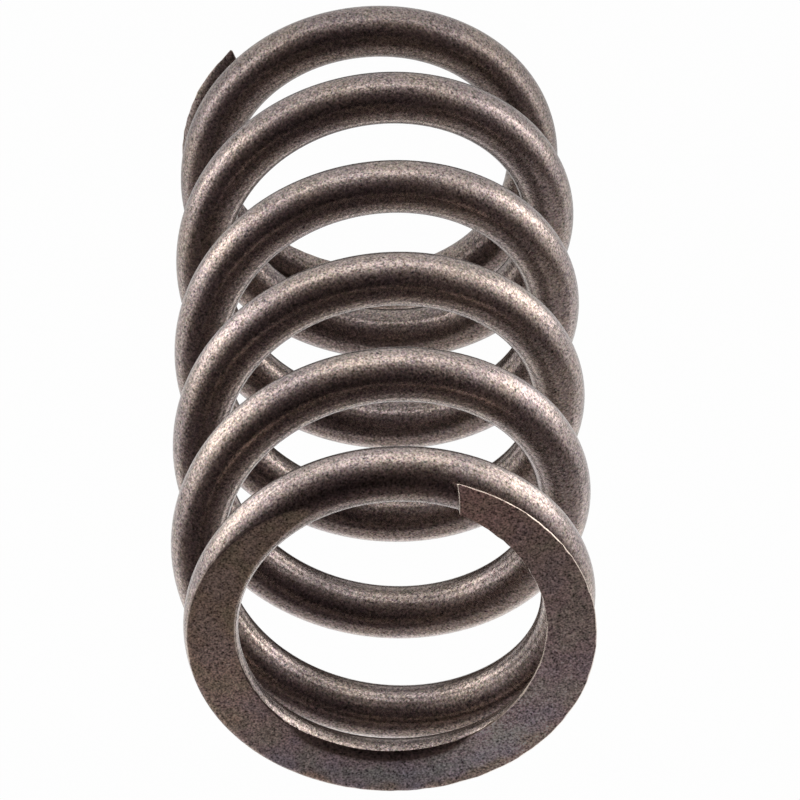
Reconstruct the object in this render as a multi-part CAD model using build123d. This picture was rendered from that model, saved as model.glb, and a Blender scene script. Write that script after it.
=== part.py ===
from build123d import *
import math
import os

# Engine valve spring: one length of round spring-steel wire, coiled right-handed.
# Both ends are wound close, drawn in a little, sheared off and ground flat.
# Millimetres, +Z up. Z is the coil axis and the lower ground face lies on Z = 0.

# Wire and body
wire_dia = 4.1
outer_dia = 32.0        # over the body coils, unloaded
free_length = 62.0      # between the two ground faces
total_coils = 6.81      # from tip to tip
top_tip_angle = -111.0  # degrees about Z from +X, where the upper tip ends

# Ends, the same above and below, with lengths along the wire in coils
closed_coils = 0.8      # wound close to the next coil
lead_coils = 0.5        # over which the close pitch opens to the active pitch
closed_gap = 0.1        # left between a closed coil and the next one
draw_in = 0.95          # by how much an end coil's radius is smaller than the body's
draw_in_start = 0.15    # from the tip to where the coil starts to close in
draw_in_coils = 1.15    # from there to where it is back at the body's radius
tip_thickness = 0.5     # metal left behind the ground face at the tip
tip_skew = 24.0         # degrees between the sheared tip and a square cut
edge_break = 0.05       # on the edges of the ground faces

arcs_per_coil = 20      # about how many tangent arcs make up one turn of the wire's centre line

wire_radius = wire_dia / 2
body_radius = (outer_dia - wire_dia) / 2
half_coils = total_coils / 2
closed_pitch = wire_dia + closed_gap
tip_height = tip_thickness - wire_radius
fade_out = (wire_radius - tip_height) / closed_pitch    # coils from the tip to the end of the flat
opened_coils = total_coils - 2 * closed_coils - lead_coils
opened_rise = free_length - 2 * tip_height - closed_pitch * total_coils
active_pitch = closed_pitch + opened_rise / opened_coils


def eased(share):
    """Area under a smooth step from 0 to `share`, which is a straight line past 1."""
    inside = min(max(share, 0), 1)
    return inside**3 - inside**4 / 2 + max(share - 1, 0)


def height_at(coils):
    """Height of the wire's centre, `coils` turns up from the lower tip."""
    opening = lead_coils * eased((coils - closed_coils) / lead_coils)
    closing_start = total_coils - closed_coils - lead_coils
    closing = lead_coils * eased((coils - closing_start) / lead_coils)
    return tip_height + closed_pitch * coils + (active_pitch - closed_pitch) * (opening - closing)


def drawn_in(coils_from_tip):
    """How far the wire lies inside the body's radius, near one end."""
    share = min(max((coils_from_tip - draw_in_start) / draw_in_coils, 0), 1)
    return draw_in * (1 - math.cos(2 * math.pi * share)) / 2


def centre_at(coils, spread=1):
    """Point on the wire's centre line, or at `spread` times its radius."""
    radius = (body_radius - drawn_in(coils) - drawn_in(total_coils - coils)) * spread
    angle = math.radians(top_tip_angle) + 2 * math.pi * (coils - total_coils)
    return Vector(radius * math.cos(angle), radius * math.sin(angle), height_at(coils))


def arc_joints():
    """Where the arcs meet, in coils up from the tip. The flat fades out in the middle of one arc."""
    end_arcs = round(fade_out * arcs_per_coil + 0.5)
    end_step = fade_out / (end_arcs - 0.5)
    end = end_arcs * end_step
    body_arcs = round((half_coils - end) * arcs_per_coil)
    body_step = (half_coils - end) / body_arcs
    ends = [index * end_step for index in range(end_arcs)]
    return ends + [end + index * body_step for index in range(body_arcs + 1)]


def wire_path():
    """The centre line from the lower tip to the middle, as arcs tangent to a polygon round it."""
    joints = arc_joints()
    corners = [centre_at(0)]
    for lower, upper in zip(joints, joints[1:]):
        corners.append(centre_at((lower + upper) / 2, 1 / math.cos(math.pi * (upper - lower))))
    corners.reverse()
    arcs = []
    upper_end = centre_at(half_coils)
    for corner, following in zip(corners, corners[1:]):
        lower_end = corner + (following - corner).normalized() * (corner - upper_end).length
        arcs.insert(0, TangentArc(lower_end, upper_end, tangent=corner - lower_end))
        upper_end = lower_end
    return Wire(arcs)


def coiled_half():
    """The lower half of the wire as coiled, before its end is sheared and ground."""
    path = wire_path()
    tip = path @ 0
    section = Plane(origin=tip, x_dir=(tip.X, tip.Y, 0), z_dir=path % 0) * Circle(wire_radius)
    return sweep(section, path)


def shear():
    """What the shear takes off the lower tip, clear of the coil above it."""
    flat_half = math.sqrt(wire_radius**2 - tip_height**2)
    tip = centre_at(0)
    outward = Vector(tip.X, tip.Y).normalized()
    outer_corner = tip + outward * flat_half
    angle = math.degrees(math.atan2(tip.Y, tip.X))
    depth = tip_thickness + closed_gap / 2
    length = wire_dia * math.sin(math.radians(tip_skew))
    width = 4 * wire_dia
    placed = Location((outer_corner.X, outer_corner.Y, 0), (0, 0, angle - tip_skew))
    return placed * Box(width, length, 2 * depth, align=(Align.CENTER, Align.MAX, Align.CENTER))


def finished_half():
    """The lower half, sheared at the tip, ground flat and deburred."""
    below = Box(2 * outer_dia, 2 * outer_dia, wire_dia, align=(Align.CENTER, Align.CENTER, Align.MAX))
    ground = coiled_half() - below - shear()
    ground_face = ground.faces().filter_by(Axis.Z).sort_by(Axis.Z)[0]
    return chamfer(ground_face.edges(), edge_break)


def valve_spring():
    """The finished spring: two equal halves, the upper one turned over about the middle of the wire."""
    lower = finished_half()
    middle = centre_at(half_coils)
    turned_over = Axis((0, 0, middle.Z), (middle.X, middle.Y, 0))
    return lower + lower.rotate(turned_over, 180)


os.makedirs("parts", exist_ok=True)
spring = valve_spring()
print("active pitch", round(active_pitch, 3), "volume", round(spring.volume, 1), "valid", spring.is_valid)
export_step(spring, "parts/valve_spring.step")
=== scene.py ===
import math

import bmesh
import bpy
from mathutils import Matrix, Vector


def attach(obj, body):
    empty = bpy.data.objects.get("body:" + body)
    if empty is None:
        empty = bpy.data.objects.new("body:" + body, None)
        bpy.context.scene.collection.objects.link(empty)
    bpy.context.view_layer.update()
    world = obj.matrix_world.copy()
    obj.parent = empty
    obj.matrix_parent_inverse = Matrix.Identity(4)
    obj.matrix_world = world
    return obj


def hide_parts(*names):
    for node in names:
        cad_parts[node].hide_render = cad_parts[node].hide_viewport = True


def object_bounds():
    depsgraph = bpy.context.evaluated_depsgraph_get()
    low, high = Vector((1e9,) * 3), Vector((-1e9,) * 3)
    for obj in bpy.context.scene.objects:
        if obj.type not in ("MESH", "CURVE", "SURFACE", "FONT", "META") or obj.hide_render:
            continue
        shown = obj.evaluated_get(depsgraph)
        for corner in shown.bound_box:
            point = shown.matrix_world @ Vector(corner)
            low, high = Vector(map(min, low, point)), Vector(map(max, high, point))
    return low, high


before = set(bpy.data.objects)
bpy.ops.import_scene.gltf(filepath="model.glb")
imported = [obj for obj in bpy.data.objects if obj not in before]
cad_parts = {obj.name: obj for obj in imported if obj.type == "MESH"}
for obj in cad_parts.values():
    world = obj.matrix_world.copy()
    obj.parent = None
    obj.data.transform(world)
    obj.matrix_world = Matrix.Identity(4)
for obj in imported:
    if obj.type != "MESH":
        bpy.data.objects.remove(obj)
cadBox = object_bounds()
millimetre = 0.001


# Node trees are written as expressions on their sockets.
class Value:
    def __init__(self, graph, socket):
        self.graph = graph
        self.socket = socket

    def math(self, operation, *others):
        sockets = dict(enumerate((self, *others)))
        return self.graph.node("ShaderNodeMath", {"operation": operation}, sockets)

    def __add__(self, other):
        return self.math("ADD", other)

    def __sub__(self, other):
        return self.math("SUBTRACT", other)

    def __mul__(self, other):
        return self.math("MULTIPLY", other)

    def __truediv__(self, other):
        return self.math("DIVIDE", other)

    def __rsub__(self, other):
        return self.math("MULTIPLY_ADD", -1, other)

    def __rtruediv__(self, other):
        return self.math("POWER", -1) * other

    __radd__ = __add__
    __rmul__ = __mul__

    def clamped(self, low=0, high=1):
        return self.math("MAXIMUM", low).math("MINIMUM", high)

    def smooth(self, low, high):
        # 0 below low and 1 above high, with a smooth step between them
        return self.graph.node("ShaderNodeMapRange", {"interpolation_type": "SMOOTHSTEP"},
                               {"Value": self, "From Min": low, "From Max": high})


class Graph:
    def __init__(self, tree):
        self.tree = tree

    def node(self, kind, settings=None, sockets=None, out=0):
        made = self.tree.nodes.new(kind)
        for name, value in (settings or {}).items():
            if name == "stops":
                fillRamp(made.color_ramp, value)
            else:
                setattr(made, name, value)
        for key, value in (sockets or {}).items():
            if isinstance(value, Value):
                self.tree.links.new(value.socket, made.inputs[key])
            else:
                made.inputs[key].default_value = value
        return Value(self, made.outputs[out]) if made.outputs else None

    def mixed(self, factor, first, second, blend="MIX"):
        return self.node("ShaderNodeMix", {"data_type": "RGBA", "blend_type": blend},
                         {"Factor": factor, 6: first, 7: second}, 2)

    def ramp(self, place, stops):
        return self.node("ShaderNodeValToRGB", {"stops": stops}, {0: place})

    def parts(self, vector):
        # its X, Y and Z
        return [self.node("ShaderNodeSeparateXYZ", {}, {0: vector}, axis) for axis in range(3)]

    def vector(self, x=0, y=0, z=0):
        return self.node("ShaderNodeCombineXYZ", {}, {0: x, 1: y, 2: z})

    def towards(self, vector, direction):
        return self.node("ShaderNodeVectorMath", {"operation": "DOT_PRODUCT"}, {0: vector, 1: direction}, 1)


def fillRamp(ramp, stops):
    while len(ramp.elements) < len(stops):
        ramp.elements.new(0.5)
    for element, (place, colour) in zip(ramp.elements, stops):
        element.position = place
        element.color = colour


def grey(level):
    return (level, level, level, 1)


# The spring: one coiled wire, made as a lower half and the same half turned over.
springShape = {
    "Wire Diameter": 4.1 * millimetre,
    "Outer Diameter": cadBox[1].x - cadBox[0].x,
    "Free Length": cadBox[1].z - cadBox[0].z,
    "Coils": 6.81,
    "Closed Coils": 0.8,               # from each tip, wound close to the next coil
    "Lead Coils": 0.5,                 # over which the close pitch opens
    "Closed Gap": 0.1 * millimetre,
    "Draw In": 1.03 * millimetre,      # by how much an end coil's radius is smaller
    "Draw Start": 0.31,                # in coils from the tip, and how many coils it takes
    "Draw Coils": 0.36,
    "Back Out Start": 0.725,           # from where it opens again
    "Back Out Coils": 0.575,
    "Bow": 0.65 * millimetre,          # how far the end coil bows away from its ground face
    "Bow Start": 0.16,
    "Bow Coils": 0.48,
    "Settle": 0.3 * millimetre,        # and how far it settles back after that
    "Settle Start": 0.5,
    "Settle Coils": 0.42,
    "Worn Depth": 0.23 * millimetre,   # of the rounded inner edge, halfway round the ground face
    "Worn Width": 1.15 * millimetre,
    "Tip Thickness": 0.5 * millimetre,
    "Tip Skew": math.radians(27.5),    # between the sheared tip and a square cut
    "Tip Reach": 0.2 * millimetre,     # of the upper tip's outer corner, past the end of the coil
    "Lower Tip Reach": -0.45 * millimetre,   # the lower tip ends a little short of it
    "Burr": 0.11 * millimetre,         # rolled edge round a ground face
    "Burr Unevenness": 0.9,            # how much its width changes along the wire, as a share of it
    "Weld Distance": 0.002 * millimetre,     # within which the two halves are joined
    "Rings": 490,                      # along half of the wire
    "Sides": 64,
}
upperTipAngle = math.radians(-111)
wornFrom = (0.33, 0.43)                # coils from the tip over which the worn edge begins
wornTo = (0.49, 0.56)                  # and over which it ends
flatSides = 15                         # of the wire's sides, how many lie on the ground face
flatTurn = 0.125                       # of a full turn, where the flat is narrow
skewCoils = 0.05                       # of the wire that a slanted tip takes up
capRings = 3                           # rings that close a tip
rimScale = (0.96, 0.6)                 # size of the last of them, outward and upward, against the wire
sharpAngle = math.radians(35)          # edges that bend more than this stay crisp


def easedShare(share):
    # 0 before the step, and rising one to one after it, with a smooth bend between
    inside = share.clamped()
    cube = inside.math("POWER", 3)
    return cube - cube * inside * 0.5 + (share - 1).math("MAXIMUM", 0)


def smoothShare(share):
    inside = share.clamped()
    return inside * inside * (3 - 2 * inside)


def coilAt(sizes, coils):
    # radius, height, angle and slope of the wire's centre line, coils up from the lower tip
    wireRadius = sizes["Wire Diameter"] * 0.5
    bodyRadius = sizes["Outer Diameter"] * 0.5 - wireRadius
    closedPitch = sizes["Wire Diameter"] + sizes["Closed Gap"]
    tipHeight = sizes["Tip Thickness"] - wireRadius
    opened = sizes["Coils"] - 2 * sizes["Closed Coils"] - sizes["Lead Coils"]
    extraPitch = (sizes["Free Length"] - 2 * tipHeight - closedPitch * sizes["Coils"]) / opened
    lead = (coils - sizes["Closed Coils"]) / sizes["Lead Coils"]
    bowTurn = ((coils - sizes["Bow Start"]) / sizes["Bow Coils"]).clamped() * math.tau
    settleTurn = ((coils - sizes["Settle Start"]) / sizes["Settle Coils"]).clamped() * math.tau
    bowed = sizes["Bow"] * 0.5 * (1 - bowTurn.math("COSINE"))
    bowed = bowed - sizes["Settle"] * 0.5 * (1 - settleTurn.math("COSINE"))
    height = tipHeight + closedPitch * coils + extraPitch * sizes["Lead Coils"] * easedShare(lead) + bowed
    drawShare = smoothShare((coils - sizes["Draw Start"]) / sizes["Draw Coils"])
    drawShare = drawShare - smoothShare((coils - sizes["Back Out Start"]) / sizes["Back Out Coils"])
    radius = bodyRadius - sizes["Draw In"] * drawShare
    angle = (coils - sizes["Coils"] * 0.5) * math.tau
    climb = closedPitch + extraPitch * smoothShare(lead)
    climb = climb + sizes["Bow"] * math.pi / sizes["Bow Coils"] * bowTurn.math("SINE")
    climb = climb - sizes["Settle"] * math.pi / sizes["Settle Coils"] * settleTurn.math("SINE")
    slope = (climb / (radius * math.tau)).math("ARCTANGENT")
    return radius, height, angle, slope


def springTree(material):
    tree = bpy.data.node_groups.new("coiled spring", "GeometryNodeTree")
    for name, value in springShape.items():
        kind = "NodeSocketInt" if isinstance(value, int) else "NodeSocketFloat"
        tree.interface.new_socket(name=name, in_out="INPUT", socket_type=kind)
    tree.interface.new_socket(name="Spring", in_out="OUTPUT", socket_type="NodeSocketGeometry")
    graph = Graph(tree)
    groupInput = tree.nodes.new("NodeGroupInput")
    sizes = {name: Value(graph, groupInput.outputs[name]) for name in springShape}
    rings, sides = sizes["Rings"], sizes["Sides"]
    wireRadius = sizes["Wire Diameter"] * 0.5

    # a flat grid, rings one way and sides the other, that is rolled up into the wire
    grid = graph.node("GeometryNodeMeshGrid", {}, {
        "Size X": 1.0, "Size Y": 1.0, "Vertices X": rings + 1, "Vertices Y": sides + 1})
    gridX, gridY, _ = graph.parts(graph.node("GeometryNodeInputPosition"))
    ring = ((gridX + 0.5) * rings).math("ROUND")
    side = ((gridY + 0.5) * sides).math("ROUND").math("FLOORED_MODULO", sides)
    halfCoils = sizes["Coils"] * 0.5
    unevenness = graph.node("ShaderNodeTexWhiteNoise", {"noise_dimensions": "1D"}, {"W": ring}, 0)
    burr = sizes["Burr"] * (1 + (unevenness - 0.5) * sizes["Burr Unevenness"])
    firstCoils = sizes["Burr"] / (sizes["Outer Diameter"] * math.pi)
    onRim = ring.math("GREATER_THAN", capRings - 0.5)
    onWire = ring.math("GREATER_THAN", capRings + 0.5)
    ringShare = ((ring - capRings - 1) / (rings - capRings - 1)).clamped()
    coils = firstCoils * (onRim + onWire) + (halfCoils - 2 * firstCoils) * ringShare
    capShare = (ring / (capRings - 1)).clamped()
    outScale = capShare * rimScale[0] + onRim * (1 - rimScale[0])
    upScale = capShare * rimScale[1] + onRim * (1 - rimScale[1])

    arcSides = sides - flatSides
    onFlat = side.math("GREATER_THAN", arcSides + 0.5)
    arcShare = (side / arcSides).clamped()
    flatShare = (side - arcSides - 1) / (flatSides - 2)
    bottomShare = (side - arcSides) / flatSides

    def section(coilsHere):
        # a vertex of the wire's section, outward and up from its centre, and where its ring is
        radius, height, angle, slope = coilAt(sizes, coilsHere)
        cosine = slope.math("COSINE")
        # past the second coil the sides are evenly spaced, so that the two halves meet
        evenly = smoothShare(coilsHere - 1)
        plainHalf = math.pi * (1 - flatTurn - evenly * (flatSides / sides - flatTurn))
        wornHere = smoothShare((coilsHere - wornFrom[0]) / (wornFrom[1] - wornFrom[0]))
        wornHere = wornHere - smoothShare((coilsHere - wornTo[0]) / (wornTo[1] - wornTo[0]))
        innerBurr = burr + (sizes["Burr"] * 0.5 - burr) * wornHere
        wornHere = wornHere * sizes["Worn Depth"]
        cut = (height / (wireRadius * cosine)).clamped(-1, 1)
        innerCut = ((height - wornHere) / (wireRadius * cosine)).clamped(-1, 1)
        keptHalf = (cut * -1).math("ARCCOSINE")
        wide = keptHalf.math("LESS_THAN", plainHalf)
        arcHalf = wide * (keptHalf - burr / wireRadius) + (1 - wide) * plainHalf
        innerHalf = (innerCut * -1).math("ARCCOSINE") - innerBurr / wireRadius
        innerHalf = wide * innerHalf + (1 - wide) * plainHalf
        arcAngle = math.pi / 2 - arcHalf + (arcHalf + innerHalf) * arcShare
        bottomAngle = math.pi / 2 + plainHalf + 2 * (math.pi - plainHalf) * bottomShare
        flatHalf = wireRadius * (1 - cut * cut).math("MAXIMUM", 0).math("SQRT") - burr
        innerFlat = wireRadius * (1 - innerCut * innerCut).math("MAXIMUM", 0).math("SQRT") - innerBurr
        flatOut = (flatHalf + innerFlat) * flatShare - innerFlat
        wornShare = (1 - (flatOut + innerFlat) / sizes["Worn Width"]).math("MAXIMUM", 0)
        flatUp = wornHere * wornShare * wornShare - height / cosine
        roundAngle = (1 - onFlat) * arcAngle + onFlat * bottomAngle
        roundOut = wireRadius * roundAngle.math("COSINE")
        roundUp = (wireRadius * roundAngle.math("SINE")).math("MAXIMUM", -1 * height / cosine)
        flat = onFlat * wide
        out = flat * flatOut + (1 - flat) * roundOut
        up = flat * flatUp + (1 - flat) * roundUp
        return out, up, radius, height, angle, slope

    tipRadius, tipHeight, _, _ = coilAt(sizes, sizes["Coils"] * 0)
    tipHalf = (wireRadius * wireRadius - tipHeight * tipHeight).math("SQRT")
    plainOut = section(coils)[0]

    def halfSpring(tipReach):
        # the lower half, with its tip sheared at a slant
        setBack = (tipHalf - plainOut * outScale) * sizes["Tip Skew"].math("TANGENT") - tipReach
        skewed = setBack / (tipRadius * math.tau) * (1 - coils / skewCoils).clamped()
        out, up, radius, height, angle, slope = section(coils + skewed)
        middleUp = (wireRadius - height) * 0.5
        out = out * outScale
        up = middleUp + (up - middleUp) * upScale
        along = -1 * up * slope.math("SINE")
        reach = radius + out
        x = reach * angle.math("COSINE") - along * angle.math("SINE")
        y = reach * angle.math("SINE") + along * angle.math("COSINE")
        z = height + up * slope.math("COSINE") - sizes["Free Length"] * 0.5
        return graph.node("GeometryNodeSetPosition", {}, {
            "Geometry": grid, "Position": graph.vector(x, y, z)})

    lower = halfSpring(sizes["Lower Tip Reach"])
    upper = graph.node("GeometryNodeTransform", {}, {
        "Geometry": halfSpring(sizes["Tip Reach"]), "Rotation": (math.pi, 0, 0)})
    both = tree.nodes.new("GeometryNodeJoinGeometry")
    tree.links.new(lower.socket, both.inputs[0])
    tree.links.new(upper.socket, both.inputs[0])
    whole = graph.node("GeometryNodeMergeByDistance", {}, {
        "Geometry": Value(graph, both.outputs[0]), "Distance": sizes["Weld Distance"]})
    whole = graph.node("GeometryNodeTransform", {}, {
        "Geometry": whole,
        "Translation": graph.vector(z=sizes["Free Length"] * 0.5),
        "Rotation": graph.vector(z=upperTipAngle - sizes["Coils"] * math.pi)})
    whole = graph.node("GeometryNodeRealizeInstances", {}, {"Geometry": whole})
    whole = graph.node("GeometryNodeSetMaterial", {}, {"Geometry": whole, "Material": material})
    groupOutput = tree.nodes.new("NodeGroupOutput")
    tree.links.new(whole.socket, groupOutput.inputs["Spring"])
    return tree


def makeSpring(material):
    holder = bpy.data.objects.new("springHolder", bpy.data.meshes.new("springHolder"))
    bpy.context.collection.objects.link(holder)
    modifier = holder.modifiers.new("coil", "NODES")
    modifier.node_group = springTree(material)
    for item in modifier.node_group.interface.items_tree:
        if item.in_out == "INPUT":
            modifier[item.identifier] = springShape[item.name]
    depsgraph = bpy.context.evaluated_depsgraph_get()
    mesh = bpy.data.meshes.new_from_object(holder.evaluated_get(depsgraph))
    bpy.data.objects.remove(holder)
    shell = bmesh.new()
    shell.from_mesh(mesh)
    bmesh.ops.recalc_face_normals(shell, faces=shell.faces)
    openEdges = sum(1 for edge in shell.edges if len(edge.link_faces) != 2)
    volume = round(shell.calc_volume(signed=True) / millimetre ** 3, 1)
    shell.to_mesh(mesh)
    shell.free()
    print("spring: open edges", openEdges, "volume mm3", volume, "triangles", len(mesh.loop_triangles))
    mesh.shade_smooth()
    mesh.set_sharp_from_angle(angle=sharpAngle)
    spring = bpy.data.objects.new("coiledSpring", mesh)
    bpy.context.collection.objects.link(spring)
    return spring


# Shot-peened spring steel with a dark bronze oxide.
steelFinish = {
    "bronze": (0.345, 0.28, 0.247, 1),
    "plum": (0.31, 0.252, 0.24, 1),
    "tint": 5 * millimetre,            # width of the patches of bronze and plum
    "tintStep": (0.35, 0.65),          # of the noise, from plum to bronze
    "grain": 0.155 * millimetre,
    "grainContrast": 3.3,
    "grainColour": 0.4,                # how far the grains differ in colour
    "roughness": 0.26,
    "peening": 0.24 * millimetre,      # distance between dimples
    "peenedDepth": 0.02 * millimetre,
}

# The ground faces at both ends, coloured by the heat of grinding.
groundFinish = {
    "depth": (0.01, 0.05),             # mm in from the end of the spring, where the finish fades out
    "aroundFace": [                    # by coils from the tip
        (0.02, (0.56, 0.405, 0.36, 1)),
        (0.09, (0.52, 0.43, 0.38, 1)),
        (0.19, (0.6, 0.5, 0.49, 1)),
        (0.33, (0.82, 0.74, 0.76, 1)),
        (0.42, (0.49, 0.45, 0.47, 1)),
        (0.52, (0.54, 0.46, 0.47, 1)),
        (0.62, (0.66, 0.53, 0.46, 1)),
        (0.69, (0.56, 0.45, 0.36, 1)),
        (0.8, (0.43, 0.35, 0.28, 1)),
    ],
    "patches": [                       # tints of violet, plum, olive and brown, by the noise
        (0.36, (0.95, 0.93, 1, 1)),
        (0.47, (1, 0.95, 0.96, 1)),
        (0.56, (0.97, 1, 0.94, 1)),
        (0.66, (1, 0.96, 0.9, 1)),
    ],
    "temper": [                        # from the inner edge outwards
        (0.1, (1, 0.96, 0.94, 1)),
        (0.45, (0.86, 0.98, 1, 1)),
        (0.7, (0.93, 0.96, 1, 1)),
        (0.86, (1, 0.89, 0.76, 1)),
        (1.0, (1, 0.9, 0.8, 1)),
    ],
    "temperSide": Vector((-0.17, 0.985, 0)),   # where the heat has coloured the face most
    "temperStep": (0.35, 0.95),        # towards that side, as a share of the spring's radius
    "temperStrength": 0.85,
    "innerEdge": 0.75,                 # of the spring's radius, where the face begins
    "tint": 3.0 * millimetre,          # width of the patches
    "aroundWander": 0.1,               # how far the patches shift the colours round the face
    "temperWander": 0.9,               # and the colours across it
    "grain": 0.15 * millimetre,
    "grainContrast": 3.6,
    "grainColour": 0.16,
    "roughness": 0.55,
}

# The rolled edges round the ground faces, rubbed bare in places.
edgeFinish = {
    "bare": (0.62, 0.53, 0.45, 1),
    "begins": (0.005, 0.02),           # mm in from the end of the spring
    "ends": (0.09, 0.14),
    "faceOn": (0.75, 0.9),             # how squarely a surface faces the spring's end, where the edge stops
    "patch": 0.5 * millimetre,
    "patchStep": (0.38, 0.58),         # of the noise, from dull to bare
    "dull": 0.35,                      # how bare it is between the patches
}

# One seed for each pattern. A grain's colour takes the seed after its own.
seeds = {"dimples": 1.0, "edge": 3.0, "wireGrain": 4.0, "wireTint": 7.0,
         "groundTint": 9.0, "groundGrain": 11.0}


def springSteel():
    material = bpy.data.materials.new("peened spring steel")
    material.use_nodes = True
    tree = material.node_tree
    tree.nodes.clear()
    graph = Graph(tree)
    place = graph.node("ShaderNodeTexCoord", {}, {}, "Object")
    across, along, height = graph.parts(place)
    outerRadius = springShape["Outer Diameter"] / 2

    def noise(size, detail, seed, out=0):
        return graph.node("ShaderNodeTexNoise", {"noise_dimensions": "4D"}, {
            "Vector": place, "W": seed, "Scale": 1 / size, "Detail": detail, "Roughness": 0.5}, out)

    def grained(colour, finish, seed):
        # the colour with its grains, lighter and darker and a little different in hue
        light = (noise(finish["grain"], 1.0, seed) - 0.5) * finish["grainContrast"]
        light = 1 + light - 0.5 * finish["grainColour"]
        grains = graph.node("ShaderNodeVectorMath", {"operation": "MULTIPLY_ADD"}, {
            0: noise(finish["grain"], 1.0, seed + 1, 1),
            1: (finish["grainColour"],) * 3,
            2: graph.vector(light, light, light)})
        return graph.mixed(1.0, colour, grains, "MULTIPLY")

    # where the ground face and its rolled edge are
    fromEnd = height.math("MINIMUM", springShape["Free Length"] - height) / millimetre
    ground = 1 - fromEnd.smooth(*groundFinish["depth"])
    faceOn = graph.parts(graph.node("ShaderNodeTexCoord", {}, {}, "Normal"))[2].math("ABSOLUTE")
    edge = fromEnd.smooth(*edgeFinish["begins"]) * (1 - fromEnd.smooth(*edgeFinish["ends"]))
    edge = edge * (1 - faceOn.smooth(*edgeFinish["faceOn"]))
    rubbed = noise(edgeFinish["patch"], 1.0, seeds["edge"]).smooth(*edgeFinish["patchStep"])
    edge = edge * (edgeFinish["dull"] + (1 - edgeFinish["dull"]) * rubbed)

    wireTint = noise(steelFinish["tint"], 2.0, seeds["wireTint"]).smooth(*steelFinish["tintStep"])
    wireColour = graph.mixed(wireTint, steelFinish["plum"], steelFinish["bronze"])
    wireColour = grained(wireColour, steelFinish, seeds["wireGrain"])

    groundTint = noise(groundFinish["tint"], 2.0, seeds["groundTint"])
    around = (upperTipAngle - along.math("ARCTAN2", across)) / math.tau
    around = around.math("FLOORED_MODULO", 1.0) + (groundTint - 0.5) * groundFinish["aroundWander"]
    groundColour = graph.ramp(around, groundFinish["aroundFace"])
    patches = graph.ramp(groundTint, groundFinish["patches"])
    groundColour = graph.mixed(1.0, groundColour, patches, "MULTIPLY")
    reach = (across * across + along * along).math("SQRT") / outerRadius
    fromInside = (reach - groundFinish["innerEdge"]) / (1 - groundFinish["innerEdge"])
    fromInside = fromInside + (groundTint - 0.5) * groundFinish["temperWander"]
    temper = graph.ramp(fromInside, groundFinish["temper"])
    side = graph.towards(place, groundFinish["temperSide"] / outerRadius)
    tempered = side.smooth(*groundFinish["temperStep"]) * groundFinish["temperStrength"]
    groundColour = graph.mixed(tempered, groundColour, temper, "MULTIPLY")
    groundColour = grained(groundColour, groundFinish, seeds["groundGrain"])

    colour = graph.mixed(ground, wireColour, groundColour)
    colour = graph.mixed(edge, colour, edgeFinish["bare"])
    roughness = steelFinish["roughness"] + (groundFinish["roughness"] - steelFinish["roughness"]) * ground
    dimples = noise(steelFinish["peening"], 1.0, seeds["dimples"])
    bump = graph.node("ShaderNodeBump", {}, {
        "Strength": 1.0, "Distance": steelFinish["peenedDepth"], "Height": dimples})
    surface = graph.node("ShaderNodeBsdfPrincipled", {}, {
        "Base Color": colour, "Metallic": 1.0, "Roughness": roughness, "Normal": bump})
    graph.node("ShaderNodeOutputMaterial", {}, {"Surface": surface})
    return material


# White stage, soft light from the sides and the front, and a room that darkens overhead.
stage = {
    "floorSize": 6.0,
    "floorColour": (0.9, 0.9, 0.9, 1),
    "cameraWhite": 0.985,              # how much of the floor is plain white to the camera
    "secondMirror": 0.35,              # how bright the stage is in a reflection between two coils
    "underShade": 0.6,                 # and the floor right under the spring, at most
    "shadeReach": 0.05,
}


def mirroredOnce(graph, bounces):
    # 1 for a ray of up to so many bounces, and less between one coil and the next
    rays = graph.node("ShaderNodeLightPath", {}, {}, "Ray Depth")
    return 1 - rays.math("GREATER_THAN", bounces + 0.5) * (1 - stage["secondMirror"])


def floorMaterial():
    material = bpy.data.materials.new("white floor")
    material.use_nodes = True
    tree = material.node_tree
    tree.nodes.clear()
    graph = Graph(tree)
    rays = tree.nodes.new("ShaderNodeLightPath")
    fromCamera = Value(graph, rays.outputs["Is Camera Ray"])
    seen = fromCamera
    for name in ("Is Glossy Ray", "Is Transmission Ray"):
        seen = seen.math("MAXIMUM", Value(graph, rays.outputs[name]))
    lit = graph.node("ShaderNodeBsdfDiffuse", {}, {"Color": stage["floorColour"]})
    away = graph.node("ShaderNodeTexCoord", {}, {}, "Object")
    away = graph.node("ShaderNodeVectorMath", {"operation": "LENGTH"}, {0: away}, 1)
    shade = (1 - away.smooth(0, stage["shadeReach"])) * (1 - stage["underShade"])
    strength = mirroredOnce(graph, 1) * (1 - shade * (1 - fromCamera))
    white = graph.node("ShaderNodeEmission", {}, {"Color": grey(1), "Strength": strength})
    mixed = graph.node("ShaderNodeMixShader", {}, {0: seen * stage["cameraWhite"], 1: lit, 2: white})
    graph.node("ShaderNodeOutputMaterial", {}, {"Surface": mixed})
    return material


def makeFloor():
    half = stage["floorSize"] / 2
    corners = [(-half, -half, 0), (half, -half, 0), (half, half, 0), (-half, half, 0)]
    mesh = bpy.data.meshes.new("floor")
    mesh.from_pydata(corners, [], [(0, 1, 2, 3)])
    floor = bpy.data.objects.new("floor", mesh)
    bpy.context.collection.objects.link(floor)
    mesh.materials.append(floorMaterial())


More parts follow.
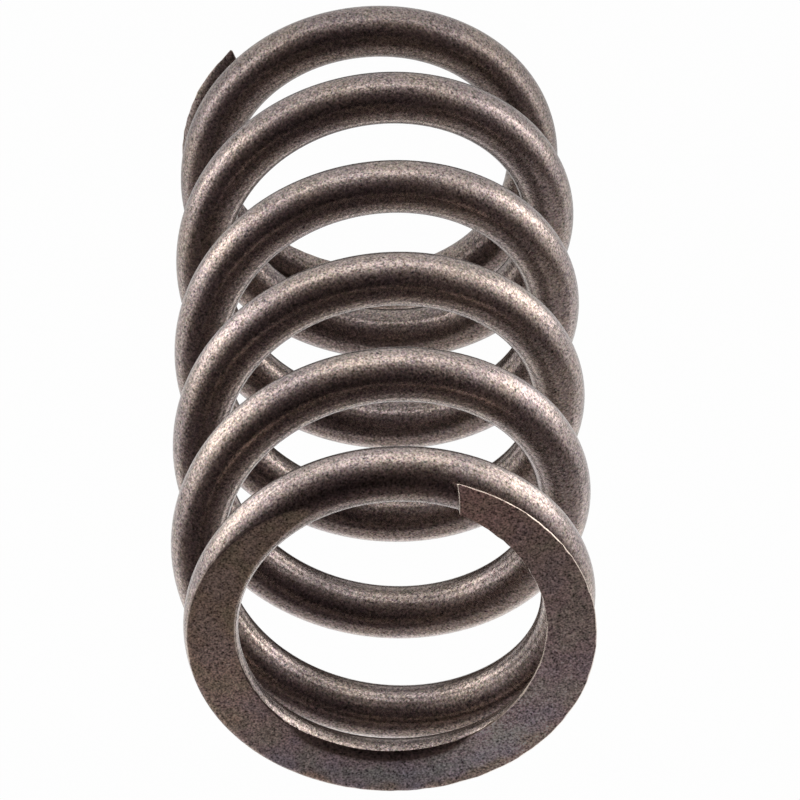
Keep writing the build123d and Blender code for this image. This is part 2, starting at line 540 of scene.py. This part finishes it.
room = {
    "darkSide": Vector((0, -0.139, 0.990)),   # towards the darkest part
    "levels": [                        # from the horizon to the dark side
        (0.45, grey(0.5)),
        (0.55, (0.3, 0.275, 0.27, 1)),
        (0.67, (0.195, 0.165, 0.158, 1)),
        (0.79, (0.12, 0.098, 0.096, 1)),
        (0.88, (0.095, 0.075, 0.075, 1)),
        (0.95, (0.054, 0.042, 0.043, 1)),
        (1.0, (0.014, 0.01, 0.01, 1)),
    ],
    "sideGlow": 1.3,                   # of the walls left and right, near the floor
    "sideStep": (0.62, 1.0),           # how squarely to the side it begins and is full
    "sideHeight": (-0.1, 0.7),         # and how far up it fades
    "frontGlow": 0.55,
    "frontNarrow": 14,                 # a higher number makes it a smaller patch
}


def makeWorld():
    world = bpy.data.worlds.new("studio")
    bpy.context.scene.world = world
    world.use_nodes = True
    tree = world.node_tree
    tree.nodes.clear()
    graph = Graph(tree)
    direction = graph.node("ShaderNodeTexCoord", {}, {}, "Generated")
    facing = graph.towards(direction, room["darkSide"])
    level = graph.ramp(facing * 0.5 + 0.5, room["levels"])
    across, along, upwards = graph.parts(direction)
    sideways = across.math("ABSOLUTE") * math.cos(lightFan["angle"]) - along * math.sin(lightFan["angle"])
    glow = sideways.smooth(*room["sideStep"]) * (1 - upwards.smooth(*room["sideHeight"])) * room["sideGlow"]
    glow = glow + (along * -1).clamped().math("POWER", room["frontNarrow"]) * room["frontGlow"]
    glow = graph.node("ShaderNodeCombineColor", {}, {0: glow, 1: glow, 2: glow})
    level = graph.mixed(1.0, level, glow, "ADD")
    background = graph.node("ShaderNodeBackground", {}, {"Color": level, "Strength": mirroredOnce(graph, 2)})
    graph.node("ShaderNodeOutputWorld", {}, {"Surface": background})


# Light panels lie on the floor in a fan on each side of the spring, with one in front and one
# that stands behind it. A panel has where it begins and ends, from the axis, and its width.
lightFan = {
    "panels": [(0.05, 0.10, 0.035), (0.10, 0.25, 0.09), (0.25, 0.75, 0.26)],
    "front": (0.07, 0.9, 0.3),
    "back": (0.065, 0.165, 0.2),
    "angle": math.radians(18),         # of the side panels, from the X axis towards the front
    "lift": 0.002,
    "levels": {"left": 1.9, "right": 2.4, "front": 0.87, "back": 0.3},
    "colour": (1, 0.985, 0.97),
}


def lightPanel(name, panel, angle, tilt=0):
    # a soft panel on the floor, or tilted up about its near end so that it faces the spring
    near, far, width = panel
    light = bpy.data.lights.new(name, "AREA")
    light.shape = "RECTANGLE"
    light.size, light.size_y = far - near, width
    light.energy = lightFan["levels"][name] * math.pi * light.size * light.size_y
    light.color = lightFan["colour"]
    holder = bpy.data.objects.new(name, light)
    bpy.context.collection.objects.link(holder)
    holder.visible_camera = False
    hinge = Matrix.Translation((near, 0, lightFan["lift"])) @ Matrix.Rotation(-tilt, 4, "Y")
    centre = Matrix.Translation(((far - near) / 2, 0, 0))
    holder.matrix_world = Matrix.Rotation(angle, 4, "Z") @ hinge @ centre @ Matrix.Rotation(math.pi, 4, "X")


def makeLamps():
    for panel in lightFan["panels"]:
        lightPanel("left", panel, -lightFan["angle"])
        lightPanel("right", panel, math.pi + lightFan["angle"])
    lightPanel("front", lightFan["front"], -math.pi / 2)
    lightPanel("back", lightFan["back"], math.pi / 2, tilt=math.pi / 2)


# The camera looks down one end of the spring, turned so that the far end is at the top.
cameraView = {
    "azimuth": 1.6,
    "elevation": 52.15,
    "roll": 178.52,
    "distance": 0.5105,
    "aim": (-0.00165, 0.00122, 0.03200),
    "lens": 294.0,
    "sensor": 36.0,
    "clip": (0.01, 20),
}


def lookFrom(azimuth, elevation, roll):
    turn = Matrix.Rotation(math.radians(azimuth), 3, "Z")
    turn = turn @ Matrix.Rotation(math.radians(90 - elevation), 3, "X")
    return turn @ Matrix.Rotation(math.radians(roll), 3, "Z")


def makeCamera():
    camera = bpy.data.objects.new("camera", bpy.data.cameras.new("camera"))
    bpy.context.collection.objects.link(camera)
    camera.data.lens = cameraView["lens"]
    camera.data.sensor_width = cameraView["sensor"]
    camera.data.clip_start, camera.data.clip_end = cameraView["clip"]
    turn = lookFrom(cameraView["azimuth"], cameraView["elevation"], cameraView["roll"])
    away = turn @ Vector((0, 0, cameraView["distance"]))
    camera.matrix_world = Matrix.Translation(Vector(cameraView["aim"]) + away) @ turn.to_4x4()
    bpy.context.scene.camera = camera


makeCamera()
print("camera placed")
spring = makeSpring(springSteel())
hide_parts("valve_spring")
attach(spring, "root")
print("spring made")
makeFloor()
makeWorld()
makeLamps()
print("stage lit")
bpy.context.scene.view_settings.view_transform = "Standard"
